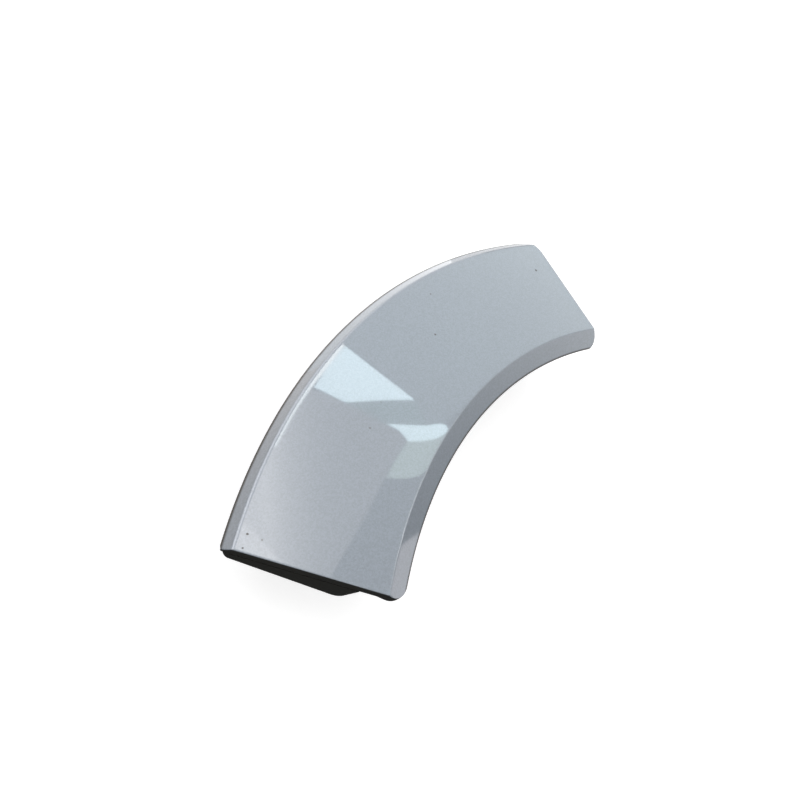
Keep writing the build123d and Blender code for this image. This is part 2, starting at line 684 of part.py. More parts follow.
def write(name, shape):
    """Move a piece to the part's own origin and write it."""
    export_step(PART_ORIGIN * shape, f"parts/{name}.step")


write("front_cover", front_cover())
write("lever_frame", lever_frame())
for number, angle in enumerate(COVER_SCREW_ANGLES, 1):
    write(f"cover_screw_{number}", cover_screw(angle))
write("base_housing", base_housing())
write("pivot_pin", headed_pin(PIVOT_Y, PIVOT_Z, HUB_HALF_LENGTH))
write("pivot_clip", pin_clip(PIVOT_Y, PIVOT_Z, HUB_HALF_LENGTH))
write("return_spring", return_spring())
write("stop_buffer_left", stop_buffer(-1))
write("stop_buffer_right", stop_buffer(1))
write("hook_pin", headed_pin(HOOK_Y, HOOK_Z, sleeve_half()))
write("hook_clip", pin_clip(HOOK_Y, HOOK_Z, sleeve_half()))
write("hook_spring", hook_spring())
write("latch_hook", latch_hook())
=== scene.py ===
"""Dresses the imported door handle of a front-loading washing machine in its real finishes."""

import logging
from dataclasses import dataclass, field
from enum import Enum
from math import cos, radians

import bpy
import numpy as np
from mathutils import Matrix, Vector


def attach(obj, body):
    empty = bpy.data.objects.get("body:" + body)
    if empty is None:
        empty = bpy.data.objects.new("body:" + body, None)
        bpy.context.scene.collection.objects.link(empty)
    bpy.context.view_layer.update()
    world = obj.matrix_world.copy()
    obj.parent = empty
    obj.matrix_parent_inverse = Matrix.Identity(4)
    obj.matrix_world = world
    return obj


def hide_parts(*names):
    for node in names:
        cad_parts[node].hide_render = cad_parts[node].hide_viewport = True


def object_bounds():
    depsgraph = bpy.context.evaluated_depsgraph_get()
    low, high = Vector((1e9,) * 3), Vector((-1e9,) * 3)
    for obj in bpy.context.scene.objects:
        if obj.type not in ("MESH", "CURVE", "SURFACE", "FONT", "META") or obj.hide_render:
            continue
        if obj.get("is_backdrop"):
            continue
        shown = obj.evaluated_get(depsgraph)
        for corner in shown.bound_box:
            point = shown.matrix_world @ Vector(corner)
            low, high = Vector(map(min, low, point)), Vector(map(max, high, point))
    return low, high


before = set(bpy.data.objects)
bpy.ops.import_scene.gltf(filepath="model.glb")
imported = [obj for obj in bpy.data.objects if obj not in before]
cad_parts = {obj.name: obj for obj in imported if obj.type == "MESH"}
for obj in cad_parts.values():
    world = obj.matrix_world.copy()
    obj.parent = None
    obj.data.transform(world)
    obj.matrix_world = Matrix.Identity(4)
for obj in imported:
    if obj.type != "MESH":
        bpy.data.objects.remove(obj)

LOG = logging.getLogger("door_handle")
MM = 0.001

# The door's own axis, about which the arc is drawn. The fixing screws lie on a circle about it
FIXING_RADIUS = 170.0 * MM
FIXING_ANGLE = 15.0
DOOR_AXIS_Y = -FIXING_RADIUS * cos(radians(FIXING_ANGLE))

# Noise values between which the slow cloud of a grain goes from 0 to 1
CLOUD_RANGE = (0.35, 0.65)

# Dust: its noise, the noise values of its patches, and how far a face must look upwards
DUST_SCALE = 260.0
DUST_DETAIL = 6.0
DUST_PATCH_RANGE = (0.50, 0.72)
DUST_UPWARD_RANGE = (0.2, 0.9)

# Specks: the noise that makes the edge ragged, and the share of the radius where the speck ends
SPECK_NOISE_SCALE = 2600.0
SPECK_RAGGEDNESS = 0.9
SPECK_EDGE_RANGE = (1.35, 1.75)


class Colour(Enum):
    """Plain colours of the finishes, linear red, green and blue."""

    SILVER = (0.168, 0.194, 0.224)
    FLAKE = (0.228, 0.263, 0.299)
    SPECK = (0.020, 0.019, 0.018)
    BLACK_ABS = (0.0190, 0.0190, 0.0168)
    DUST = (0.30, 0.29, 0.27)
    STEEL = (0.56, 0.56, 0.55)
    SPRING_STEEL = (0.36, 0.36, 0.37)
    ZINC_PLATE = (0.60, 0.61, 0.63)
    CAST_ZINC = (0.40, 0.405, 0.41)
    RUBBER = (0.020, 0.020, 0.020)
    FLOOR = (0.80, 0.80, 0.80)
    WHITE = (1.0, 1.0, 1.0)

    def rgba(self) -> tuple[float, float, float, float]:
        """The colour with full cover."""
        return (*self.value, 1.0)


class Graph:
    """A node tree with short calls for the nodes that the finishes use."""

    def __init__(self, tree: bpy.types.NodeTree) -> None:
        """Takes the tree to add nodes to."""
        self.tree = tree

    def node(self, kind: str, inputs: dict | None = None, **settings: object) -> bpy.types.Node:
        """Adds a node.

        Args:
            kind: the node's type name.
            inputs: values or sockets for its inputs, by name or by number.
            settings: the node's own properties.

        Returns:
            The new node.
        """
        made = self.tree.nodes.new(kind)
        for name, value in settings.items():
            setattr(made, name, value)
        for name, value in (inputs or {}).items():
            self.feed(made.inputs[name], value)
        return made

    def feed(self, socket: bpy.types.NodeSocket, value: object) -> None:
        """Links a socket to another one, or sets its value.

        Args:
            socket: the input to feed.
            value: another node's output, a named colour or a plain value.
        """
        if isinstance(value, bpy.types.NodeSocket):
            self.tree.links.new(value, socket)
        elif isinstance(value, Colour):
            socket.default_value = value.rgba()
        else:
            socket.default_value = value

    def group(self, tree: bpy.types.NodeTree, inputs: dict) -> bpy.types.Node:
        """Adds a node group with its own values."""
        return self.node("ShaderNodeGroup", inputs, node_tree=tree)

    def math(self, operation: str, first: object, second: object = 0.0) -> bpy.types.NodeSocket:
        """Result of a Math node on one or two values."""
        return self.node("ShaderNodeMath", {0: first, 1: second}, operation=operation).outputs[0]

    def raised(self, base: object, value: object, gain: float) -> bpy.types.NodeSocket:
        """Base plus the value times a gain."""
        return self.math("ADD", base, self.math("MULTIPLY", value, gain))

    def vector_math(
        self, operation: str, first: object, second: object = (0.0, 0.0, 0.0), output: str = "Vector"
    ) -> bpy.types.NodeSocket:
        """Result of a Vector Math node on one or two vectors."""
        made = self.node("ShaderNodeVectorMath", {0: first, 1: second}, operation=operation)
        return made.outputs[output]

    def ramp(self, value: object, low: float, high: float) -> bpy.types.NodeSocket:
        """Value mapped smoothly to 0 at low and 1 at high."""
        limits = {"Value": value, "From Min": low, "From Max": high}
        return self.node("ShaderNodeMapRange", limits, interpolation_type="SMOOTHSTEP").outputs["Result"]

    def noise(self, place: object, scale: object, detail: float = 2.0) -> bpy.types.NodeSocket:
        """Noise of a scale, per metre, at a place."""
        made = self.node("ShaderNodeTexNoise", {"Vector": place, "Scale": scale, "Detail": detail})
        return made.outputs["Fac"]

    def mix(self, share: object, first: object, second: object) -> bpy.types.NodeSocket:
        """Colour between two colours."""
        return self.node("ShaderNodeMix", {0: share, 6: first, 7: second}, data_type="RGBA").outputs[2]

    def bump(self, height: object, strength: float, distance: float) -> bpy.types.NodeSocket:
        """Normal bent by a height whose full rise is a distance in metres."""
        made = self.node("ShaderNodeBump", {"Height": height, "Strength": strength, "Distance": distance})
        return made.outputs["Normal"]

    def place(self) -> bpy.types.NodeSocket:
        """Object coordinates."""
        return self.node("ShaderNodeTexCoord").outputs["Object"]

    def seen_directly(self) -> bpy.types.NodeSocket:
        """Adds the test for rays that show the background as it is.

        Returns:
            A value that is 1 for camera, glossy and transmission rays and 0 for all others.
        """
        seen = self.node("ShaderNodeLightPath")
        direct = self.math("MAXIMUM", seen.outputs["Is Camera Ray"], seen.outputs["Is Glossy Ray"])
        return self.math("MAXIMUM", direct, seen.outputs["Is Transmission Ray"])


def new_group(
    name: str, inputs: dict[str, str], outputs: dict[str, str]
) -> tuple[bpy.types.NodeTree, Graph, bpy.types.Node, bpy.types.Node]:
    """Starts a shader node group.

    Args:
        name: the group's name.
        inputs: socket type of each input, by name.
        outputs: socket type of each output, by name.

    Returns:
        The group, its graph, its input node and its output node.
    """
    group = bpy.data.node_groups.new(name, "ShaderNodeTree")
    for label, kind in inputs.items():
        group.interface.new_socket(label, in_out="INPUT", socket_type=kind)
    for label, kind in outputs.items():
        group.interface.new_socket(label, in_out="OUTPUT", socket_type=kind)
    graph = Graph(group)
    return group, graph, graph.node("NodeGroupInput"), graph.node("NodeGroupOutput")


def grain_group() -> bpy.types.NodeTree:
    """Fine moulded or cast grain: a height and a slow colour change from two noises.

    Returns:
        The group, with inputs Place, Grain and Cloud (both per metre) and outputs Height and Cloud.
    """
    group, graph, given, result = new_group(
        "surface_grain",
        {"Place": "NodeSocketVector", "Grain": "NodeSocketFloat", "Cloud": "NodeSocketFloat"},
        {"Height": "NodeSocketFloat", "Cloud": "NodeSocketFloat"},
    )
    fine = graph.noise(given.outputs["Place"], given.outputs["Grain"])
    slow = graph.noise(given.outputs["Place"], given.outputs["Cloud"])
    graph.feed(result.inputs["Height"], fine)
    graph.feed(result.inputs["Cloud"], graph.ramp(slow, *CLOUD_RANGE))
    return group


def dust_group() -> bpy.types.NodeTree:
    """Dust that lies on faces which look upwards, broken up by noise.

    Returns:
        The group, with inputs Place and Amount and the output Mask.
    """
    group, graph, given, result = new_group(
        "settled_dust",
        {"Place": "NodeSocketVector", "Amount": "NodeSocketFloat"},
        {"Mask": "NodeSocketFloat"},
    )
    patches = graph.noise(given.outputs["Place"], DUST_SCALE, DUST_DETAIL)
    normal = graph.node("ShaderNodeNewGeometry").outputs["Normal"]
    upwards = graph.node("ShaderNodeSeparateXYZ", {0: normal}).outputs["Z"]
    lying = graph.ramp(upwards, *DUST_UPWARD_RANGE)
    mask = graph.math("MULTIPLY", graph.ramp(patches, *DUST_PATCH_RANGE), lying)
    graph.feed(result.inputs["Mask"], graph.math("MULTIPLY", mask, given.outputs["Amount"]))
    return group


def speck_group() -> bpy.types.NodeTree:
    """One round speck: 1 inside its radius about a spot, with a ragged edge from noise.

    Returns:
        The group, with inputs Place, Spot, Radius and Depth and the output Mask.
    """
    group, graph, given, result = new_group(
        "dirt_speck",
        {
            "Place": "NodeSocketVector",
            "Spot": "NodeSocketVector",
            "Radius": "NodeSocketFloat",
            "Depth": "NodeSocketFloat",
        },
        {"Mask": "NodeSocketFloat"},
    )
    place = given.outputs["Place"]
    ragged = graph.math("MULTIPLY", graph.noise(place, SPECK_NOISE_SCALE), SPECK_RAGGEDNESS)
    distance = graph.vector_math("DISTANCE", place, given.outputs["Spot"], "Value")
    share = graph.math("ADD", graph.math("DIVIDE", distance, given.outputs["Radius"]), ragged)
    inside = graph.math("SUBTRACT", 1.0, graph.ramp(share, *SPECK_EDGE_RANGE))
    graph.feed(result.inputs["Mask"], graph.math("MULTIPLY", inside, given.outputs["Depth"]))
    return group


@dataclass(frozen=True)
class SharedEffects:
    """The node groups that more than one finish uses."""

    grain: bpy.types.NodeTree = field(default_factory=grain_group)
    dust: bpy.types.NodeTree = field(default_factory=dust_group)
    speck: bpy.types.NodeTree = field(default_factory=speck_group)


def new_material(name: str) -> tuple[bpy.types.Material, Graph, bpy.types.Node]:
    """Starts a material.

    Args:
        name: the finish's name.

    Returns:
        The material, its graph and its Principled shader.
    """
    material = bpy.data.materials.new(name)
    material.use_nodes = True
    return material, Graph(material.node_tree), material.node_tree.nodes["Principled BSDF"]


def new_piece(
    name: str, points: np.ndarray | list, faces: list, finish: bpy.types.Material
) -> bpy.types.Object:
    """Makes a piece from points and faces.

    Args:
        name: the name of its mesh and of its object.
        points: its points, each with x, y and z.
        faces: the numbers of the points round each face.
        finish: its material.

    Returns:
        The piece, linked to the scene.
    """
    mesh = bpy.data.meshes.new(name)
    mesh.from_pydata(points, [], faces)
    mesh.materials.append(finish)
    return linked(name, mesh)


def linked(name: str, data: bpy.types.ID) -> bpy.types.Object:
    """Makes an object for a mesh, a lamp or a camera and links it to the scene.

    Args:
        name: the object's name.
        data: what it holds.

    Returns:
        The new object.
    """
    made = bpy.data.objects.new(name, data)
    bpy.context.scene.collection.objects.link(made)
    return made


@dataclass(frozen=True)
class Speck:
    """A dark speck on the silver face: its pixel in the photograph, its radius and how dark it is."""

    pixel: tuple[float, float]
    radius: float
    depth: float = 1.0


SPECKS = (
    Speck((536.0, 270.3), 0.44 * MM),
    Speck((435.3, 334.5), 0.32 * MM, 0.9),
    Speck((430.5, 294.0), 0.30 * MM, 0.6),
    Speck((247.3, 534.0), 0.30 * MM, 1.0),
    Speck((262.0, 540.0), 0.26 * MM, 0.6),
    Speck((242.6, 548.0), 0.26 * MM, 0.9),
    Speck((370.0, 428.0), 0.34 * MM, 0.5),
    Speck((381.0, 402.0), 0.20 * MM, 0.4),
)


@dataclass(frozen=True)
class SilverLacquer:
    """Silver metallic paint under clear lacquer, with a few specks of dirt."""

    effects: SharedEffects
    specks: tuple[Speck, ...]
    spots: np.ndarray
    long_edges: tuple[float, float]
    name: str = "silver_lacquer"
    edge_line: float = 0.48 * MM
    metallic: float = 0.30
    flake_scale: float = 2600.0
    flake_share: float = 0.525
    flake_bump: float = 0.15
    flake_height: float = 0.01 * MM
    grain: float = 900.0
    cloud: float = 30.0
    roughness: float = 0.50
    cloud_roughness: float = 0.04
    coat_roughness: float = 0.03
    coat_loss: float = 0.8

    def black_edge_line(self, graph: Graph, place: bpy.types.NodeSocket) -> bpy.types.NodeSocket:
        """Mask that is 1 in a thin line along the shell's outer and inner edge, where the silver is turned
        black.

        The radius is the distance from the door's axis in plan, and the mask rises where it
        comes within the line's width of the outer or of the inner edge.

        Args:
            graph: the material's graph.
            place: Object coordinates.

        Returns:
            The mask.
        """
        from_axis = graph.vector_math("ADD", place, (0.0, -DOOR_AXIS_Y, 0.0))
        in_plan = graph.vector_math("MULTIPLY", from_axis, (1.0, 1.0, 0.0))
        radius = graph.vector_math("LENGTH", in_plan, output="Value")
        outer, inner = self.long_edges
        half = self.edge_line / 2
        outside = graph.ramp(radius, outer - self.edge_line - half, outer - self.edge_line + half)
        inside = graph.ramp(radius, inner + self.edge_line + half, inner + self.edge_line - half)
        return graph.math("MAXIMUM", outside, inside)

    def build(self) -> bpy.types.Material:
        """Makes the paint colour with flakes, specks over it, and a smooth clear coat.

        Returns:
            The material.
        """
        material, graph, shader = new_material(self.name)
        place = graph.place()
        flakes = graph.node("ShaderNodeTexVoronoi", {"Vector": place, "Scale": self.flake_scale})
        red = graph.node("ShaderNodeSeparateColor", {0: flakes.outputs["Color"]}).outputs[0]
        sparkle = graph.math("MULTIPLY", red, self.flake_share)
        paint = graph.mix(sparkle, Colour.SILVER, Colour.FLAKE)
        # A thin black line along the outer and inner edges, and the dirt specks, darken the silver and dull
        # its coat
        mask = self.black_edge_line(graph, place)
        for speck, centre in zip(self.specks, self.spots):
            given = {"Place": place, "Spot": centre.tolist(), "Radius": speck.radius, "Depth": speck.depth}
            spot = graph.group(self.effects.speck, given).outputs["Mask"]
            mask = graph.math("MAXIMUM", mask, spot)
        painted = graph.math("SUBTRACT", 1.0, mask)
        grain = graph.group(self.effects.grain, {"Place": place, "Grain": self.grain, "Cloud": self.cloud})
        rough = graph.raised(self.roughness, grain.outputs["Cloud"], self.cloud_roughness)
        bump = graph.bump(flakes.outputs["Distance"], self.flake_bump, self.flake_height)
        graph.feed(shader.inputs["Base Color"], graph.mix(mask, paint, Colour.SPECK))
        graph.feed(shader.inputs["Metallic"], graph.math("MULTIPLY", painted, self.metallic))
        graph.feed(shader.inputs["Roughness"], rough)
        graph.feed(shader.inputs["Normal"], bump)
        graph.feed(shader.inputs["Coat Weight"], graph.raised(1.0, mask, -self.coat_loss))
        shader.inputs["Coat Roughness"].default_value = self.coat_roughness
        return material


@dataclass(frozen=True)
class MouldedPlastic:
    """Moulded black plastic or rubber with a fine grain and a little dust."""

    effects: SharedEffects
    name: str
    colour: Colour
    roughness: float
    dust: float
    grain: float = 2400.0
    grain_bump: float = 0.25
    grain_height: float = 0.04 * MM
    cloud: float = 45.0
    cloud_roughness: float = 0.08
    dust_roughness: float = 0.3
    shine: float = 0.30

    def build(self) -> bpy.types.Material:
        """Makes the dark colour, the grained surface, and dust where it can settle.

        Returns:
            The material.
        """
        material, graph, shader = new_material(self.name)
        place = graph.place()
        grain = graph.group(self.effects.grain, {"Place": place, "Grain": self.grain, "Cloud": self.cloud})
        dust = graph.group(self.effects.dust, {"Place": place, "Amount": self.dust}).outputs["Mask"]
        worn = graph.raised(self.roughness, grain.outputs["Cloud"], self.cloud_roughness)
        bump = graph.bump(grain.outputs["Height"], self.grain_bump, self.grain_height)
        graph.feed(shader.inputs["Base Color"], graph.mix(dust, self.colour, Colour.DUST))
        graph.feed(shader.inputs["Roughness"], graph.raised(worn, dust, self.dust_roughness))
        graph.feed(shader.inputs["Normal"], bump)
        shader.inputs["Specular IOR Level"].default_value = self.shine
        return material


@dataclass(frozen=True)
class Metal:
    """Bare, plated or cast metal with its own grain and stretch of that grain."""

    effects: SharedEffects
    name: str
    colour: Colour
    roughness: float
    grain: float
    stretch: tuple[float, float, float] = (1.0, 1.0, 1.0)
    grain_bump: float = 0.3
    grain_height: float = 0.01 * MM
    grain_roughness: float = 0.14
    cloud: float = 180.0
    dulling: float = 0.72

    def build(self) -> bpy.types.Material:
        """Makes the metal colour clouded by noise, with drawn or cast grain.

        Returns:
            The material.
        """
        material, graph, shader = new_material(self.name)
        stretched = graph.node("ShaderNodeMapping", {"Vector": graph.place(), "Scale": self.stretch})
        place = stretched.outputs["Vector"]
        grain = graph.group(self.effects.grain, {"Place": place, "Grain": self.grain, "Cloud": self.cloud})
        height = grain.outputs["Height"]
        dull = tuple(self.dulling * part for part in self.colour.value) + (1.0,)
        rough = graph.raised(self.roughness, height, self.grain_roughness)
        graph.feed(shader.inputs["Base Color"], graph.mix(grain.outputs["Cloud"], self.colour, dull))
        graph.feed(shader.inputs["Roughness"], rough)
        graph.feed(shader.inputs["Normal"], graph.bump(height, self.grain_bump, self.grain_height))
        shader.inputs["Metallic"].default_value = 1.0
        return material


@dataclass
class CoverShell:
    """The silver shell of the lever: its sizes and its smooth surface. Sizes are metres, if not named mm.

    The section runs from the outer edge over a short bevel to the crest, up the wide face to the
    crease and down the inner bevel to the inner edge.
    """

    outer_radius: float = 200.0 * MM
    half_angle: float = radians(27.2)
    edge_height: float = 3.2 * MM
    crest_in: float = 2.6 * MM
    crest_height: float = 6.0 * MM
    face_width: float = 41.7 * MM
    face_rise: float = 6.29 * MM
    bevel_width: float = 6.2 * MM
    bevel_drop: float = 3.49 * MM
    crest_rounding: float = 1.6 * MM
    crease_rounding: float = 0.9 * MM
    end_rounding: float = 0.15 * MM
    wall: float = 1.2 * MM
    lip: float = 0.25 * MM
    rim: float = 1.85 * MM
    far_corners: tuple[float, float] = (7.0 * MM, 4.5 * MM)
    near_corners: tuple[float, float] = (1.0 * MM, 6.0 * MM)
    arc_stations: int = 240
    end_stations_mm: tuple[float, ...] = (0.0, 0.04, 0.09, 0.15, 0.5, 1.0, 1.84, 1.86, 3.0)
    edge_points: int = 8
    face_points: int = 44
    bevel_points: int = 14
    rounding_points: int = 14
    sharp_angle: float = radians(38.0)

    def outline(self) -> np.ndarray:
        """Finds the corners of the section before they are rounded.

        Returns:
            Radius and height of the outer edge, the crest, the crease and the inner edge.
        """
        crest = (self.outer_radius - self.crest_in, self.crest_height)
        crease = (crest[0] - self.face_width, crest[1] + self.face_rise)
        inner = (crease[0] - self.bevel_width, crease[1] - self.bevel_drop)
        return np.array([(self.outer_radius, self.edge_height), crest, crease, inner])

    def long_edges(self) -> tuple[float, float]:
        """Radii of the outer and of the inner edge."""
        corners = self.outline()
        return float(corners[0, 0]), float(corners[-1, 0])

    def face_height(self, place: np.ndarray) -> np.ndarray:
        """Height of the silver face's cone, which rises evenly towards the door's axis.

        Args:
            place: points whose last axis holds x, y and z.

        Returns:
            The cone's height at each point.
        """
        radius = np.hypot(place[..., 0], place[..., 1] - DOOR_AXIS_Y)
        crest = self.outline()[1]
        return crest[1] + (crest[0] - radius) * self.face_rise / self.face_width

    def face_normal(self, place: np.ndarray) -> np.ndarray:
        """Normals of the silver face: straight up, tilted outwards by the face's slope.

        Args:
            place: points whose last axis holds x, y and z.

        Returns:
            A unit vector for each point.
        """
        outward = np.stack([place[..., 0], place[..., 1] - DOOR_AXIS_Y], -1)
        outward = outward / np.linalg.norm(outward, axis=-1, keepdims=True)
        upward = np.full(outward.shape[:-1] + (1,), self.face_width)
        normal = np.concatenate([outward * self.face_rise, upward], -1)
        return normal / np.linalg.norm(normal, axis=-1, keepdims=True)

    def section(self) -> tuple[np.ndarray, np.ndarray]:
        """The outer path of the section with its roundings, and its unit normals.

        The path runs along straight lines, whose points lie closer at both ends. At each corner it
        leaves the line a tangent length before the corner and follows a circle of the corner's
        rounding to the next line.

        Returns:
            Points (radius, height) and outward normals, both N by 2.
        """
        corners = self.outline()
        lines = np.diff(corners, axis=0)
        along = lines / np.linalg.norm(lines, axis=1)[:, None]
        normals = np.stack([along[:, 1], -along[:, 0]], 1)
        roundings = (self.crest_rounding, self.crease_rounding)
        start, points, outward = corners[0], [], []
        for number, count in enumerate((self.edge_points, self.face_points, self.bevel_points)):
            end = corners[number + 1]
            rounded = number < len(roundings)
            if rounded:
                turn = np.arccos(np.clip(along[number] @ along[number + 1], -1, 1))
                tangent = roundings[number] * np.tan(turn / 2)
                end = corners[number + 1] - along[number] * tangent
            share = 0.5 - 0.5 * np.cos(np.linspace(0, np.pi, count))
            points.append(start + share[:, None] * (end - start))
            outward.append(np.repeat(normals[number][None], len(share), 0))
            if rounded:
                middle = end - normals[number] * roundings[number]
                angle = turn * np.linspace(0, 1, self.rounding_points)[1:-1, None]
                between = np.sin(turn - angle) * normals[number] + np.sin(angle) * normals[number + 1]
                between = between / np.sin(turn)
                points.append(middle + between * roundings[number])
                outward.append(between)
                start = corners[number + 1] + along[number + 1] * tangent
        return np.concatenate(points), np.concatenate(outward)

    def end_angle(self, radius: np.ndarray, corners: tuple[float, float]) -> np.ndarray:
        """Half angle of the plan at each radius, where the two corners are rounded.

        A rounding circle touches the end line and the outer or inner arc. The angle is that of
        the point where the circle of the given radius meets the rounding circle.

        Args:
            radius: distances from the door's axis.
            corners: rounding at the outer and at the inner corner.

        Returns:
            Angles from the arc's middle, in radians.
        """
        outer, inner = corners
        angle = np.full(radius.shape, self.half_angle)
        circles = ((outer, self.outer_radius - outer), (inner, self.long_edges()[1] + inner))
        for (rounding, middle), outside in zip(circles, (True, False)):
            touching = np.sqrt(middle**2 - rounding**2)
            toward = self.half_angle - np.arcsin(rounding / middle)
            cosine = (radius**2 + middle**2 - rounding**2) / (2 * radius * middle)
            rounded = toward + np.arccos(np.clip(cosine, -1, 1))
            beyond = radius > touching if outside else radius < touching
            angle = np.where(beyond, np.minimum(rounded, angle), angle)
        return angle

    def grid(self) -> tuple[np.ndarray, int, int]:
        """Points of the closed shell, as rows of stations along the arc.

        Each station is the whole section, turned about the door's axis by the station's angle: the
        outer path, then the same path moved in by the wall. The first and last stations stand closer,
        at set distances from each end. There the wall thins to the lip and the outer path drops
        along a quarter circle, so that the end's edge is softly rounded.

        Returns:
            The points, the number of stations and the number of points in a section.
        """
        path, normals = self.section()
        offsets = np.array(self.end_stations_mm) * MM
        from_end = offsets[:, None] / self.outer_radius
        share = np.linspace(0, 1, self.arc_stations)[1:-1, None]
        far = self.end_angle(path[:, 0], self.far_corners)
        near = -self.end_angle(path[:, 0], self.near_corners)
        between = near + from_end[-1] + share * (far - near - 2 * from_end[-1])
        angles = np.concatenate([near + from_end, between, far - from_end[::-1]])
        depth = np.concatenate([offsets, np.full(len(share), offsets[-1]), offsets[::-1]])[:, None]
        close = np.clip(self.end_rounding - depth, 0, None)
        drop = self.end_rounding - np.sqrt(self.end_rounding**2 - close**2)
        wall = np.where(depth < self.rim, self.lip, self.wall)
        top = path[None] - normals[None] * drop[..., None]
        under = path[None] - normals[None] * wall[..., None]
        lowest = np.where(path[:, 1] < self.crest_height, self.edge_height, 0)
        under[..., 1] = np.maximum(under[..., 1], lowest)
        both = np.concatenate([top, under[:, ::-1]], 1)
        turned = np.concatenate([angles, angles[:, ::-1]], 1)
        radius, height = both[..., 0], both[..., 1]
        points = np.stack([radius * np.sin(turned), radius * np.cos(turned) + DOOR_AXIS_Y, height], -1)
        return points.reshape(-1, 3), len(angles), both.shape[1]

    def faces(self, stations: int, around: int) -> np.ndarray:
        """Quads of a closed tube of sections, with its two ends closed across the wall.

        Args:
            stations: how many sections there are.
            around: how many points each section has.

        Returns:
            The numbers of the four points of each quad.
        """
        row, column = np.meshgrid(np.arange(stations - 1), np.arange(around), indexing="ij")
        here = row * around + column
        after = row * around + (column + 1) % around
        side = np.stack([here, after, after + around, here + around], -1).reshape(-1, 4)
        half = np.arange(around // 2 - 1)
        first = np.stack([half, around - 1 - half, around - 2 - half, half + 1], -1)
        last = first[:, ::-1] + (stations - 1) * around
        return np.concatenate([side, first, last])

    def build(self, finish: bpy.types.Material) -> bpy.types.Object:
        """Makes the shell's mesh and dresses it.

        Args:
            finish: the silver finish.

        Returns:
            The new piece, which stands for the front cover.
        """
        points, stations, around = self.grid()
        quads = self.faces(stations, around).tolist()
        piece = new_piece("silver_cover_shell", points, quads, finish)
        piece.data.validate()
        piece.data.shade_smooth()
        piece.data.set_sharp_from_angle(angle=self.sharp_angle)
        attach(piece, "lever")
        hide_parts("front_cover")
        return piece


@dataclass(frozen=True)
class PhotoView:
    """Where the photograph was taken from, in metres in the part's frame."""

    place: Vector = Vector((-0.18405, 0.01641, 0.19759))
    aim: Vector = Vector((-0.02001, 0.00752, 0.01))
    up: Vector = Vector((0.5406, 0.7178, 0.4388))
    lens: float = 37.52
    sensor: float = 36.0
    frame_size: float = 800.0
    bisections: int = 40

    def matrix(self) -> Matrix:
        """The camera's matrix."""
        return aimed(self.place, self.aim, self.up)

    def rays(self, pixels: np.ndarray) -> np.ndarray:
        """Directions from the camera through pixels of the photograph.

        Args:
            pixels: N by 2 pixel places.

        Returns:
            N by 3 unit vectors.
        """
        across = (pixels[:, 0] / self.frame_size - 0.5) * self.sensor / self.lens
        down = (pixels[:, 1] / self.frame_size - 0.5) * self.sensor / self.lens
        local = np.stack([across, -down, -np.ones(len(pixels))], 1)
        turned = local @ np.array(self.matrix().to_3x3()).T
        return turned / np.linalg.norm(turned, axis=1)[:, None]

    def on_face(self, pixels: np.ndarray, cover: CoverShell) -> np.ndarray:
        """Points of the silver face that the pixels show.

        Along each ray the height over the face's cone falls from positive to negative, so
        halving the interval again and again closes in on the surface.

        Args:
            pixels: N by 2 pixel places.
            cover: the shell that carries the face.

        Returns:
            N by 3 points.
        """
        start, rays = np.array(self.place), self.rays(pixels)
        near, far = np.zeros(len(pixels)), -start[2] / rays[:, 2]
        for _ in range(self.bisections):
            middle = (near + far) / 2
            points = start + rays * middle[:, None]
            above = points[:, 2] > cover.face_height(points)
            near, far = np.where(above, middle, near), np.where(above, far, middle)
        return start + rays * near[:, None]

    def mirrored(self, pixels: np.ndarray, cover: CoverShell, distance: float) -> np.ndarray:
        """Corners of a flat card whose reflection in the face shows at the pixels.

        Each camera ray is mirrored at the face, and all are cut by one plane that stands across
        their mean direction at a distance from the face.

        Args:
            pixels: N by 2 pixel places.
            cover: the shell that carries the face.
            distance: how far off the card stands.

        Returns:
            N by 3 corners.
        """
        points, rays = self.on_face(pixels, cover), self.rays(pixels)
        normals = cover.face_normal(points)
        bounced = rays - 2 * np.sum(rays * normals, 1)[:, None] * normals
        mean = bounced.mean(0) / np.linalg.norm(bounced.mean(0))
        reach = (points.mean(0) @ mean + distance - points @ mean) / (bounced @ mean)
        return points + bounced * reach[:, None]


@dataclass(frozen=True)
class Fade:
    """A change of a card's glow, from its own strength at one corner to another at a second one.

    Between the two corners the change follows a power of the share of the way, so a high power
    keeps it close to the second corner.
    """

    from_corner: int
    to_corner: int
    strength: float
    power: float = 1.0

    def level(self, graph: Graph, corners: np.ndarray, first: float) -> bpy.types.NodeSocket:
        """Strength of the glow at each place of the card.

        Args:
            graph: the card's graph.
            corners: the card's N by 3 corners.
            first: the card's own strength.

        Returns:
            The strength.
        """
        start = corners[self.from_corner]
        way = corners[self.to_corner] - start
        along = graph.vector_math("SUBTRACT", graph.place(), start.tolist())
        share = graph.vector_math("DOT_PRODUCT", along, (way / (way @ way)).tolist(), "Value")
        clamped = graph.node("ShaderNodeClamp", {"Value": share}).outputs[0]
        return graph.raised(first, graph.math("POWER", clamped, self.power), self.strength - first)


@dataclass(frozen=True)
class ReflectionCard:
    """A bright card that only reflections see, placed by where its reflection shows in the photograph."""

    name: str
    pixels: tuple[tuple[float, float], ...]
    strength: float
    colour: tuple[float, float, float]
    fade: Fade | None = None
    distance: float = 1.5

    def build(self, view: PhotoView, cover: CoverShell) -> None:
        """Makes the card's mesh and its glow.

        Args:
            view: the photograph's point of view.
            cover: the shell whose face mirrors the card.
        """
        corners = view.mirrored(np.array(self.pixels), cover, self.distance)
        stage_card(self.name, corners, self.strength, self.colour, self.fade)


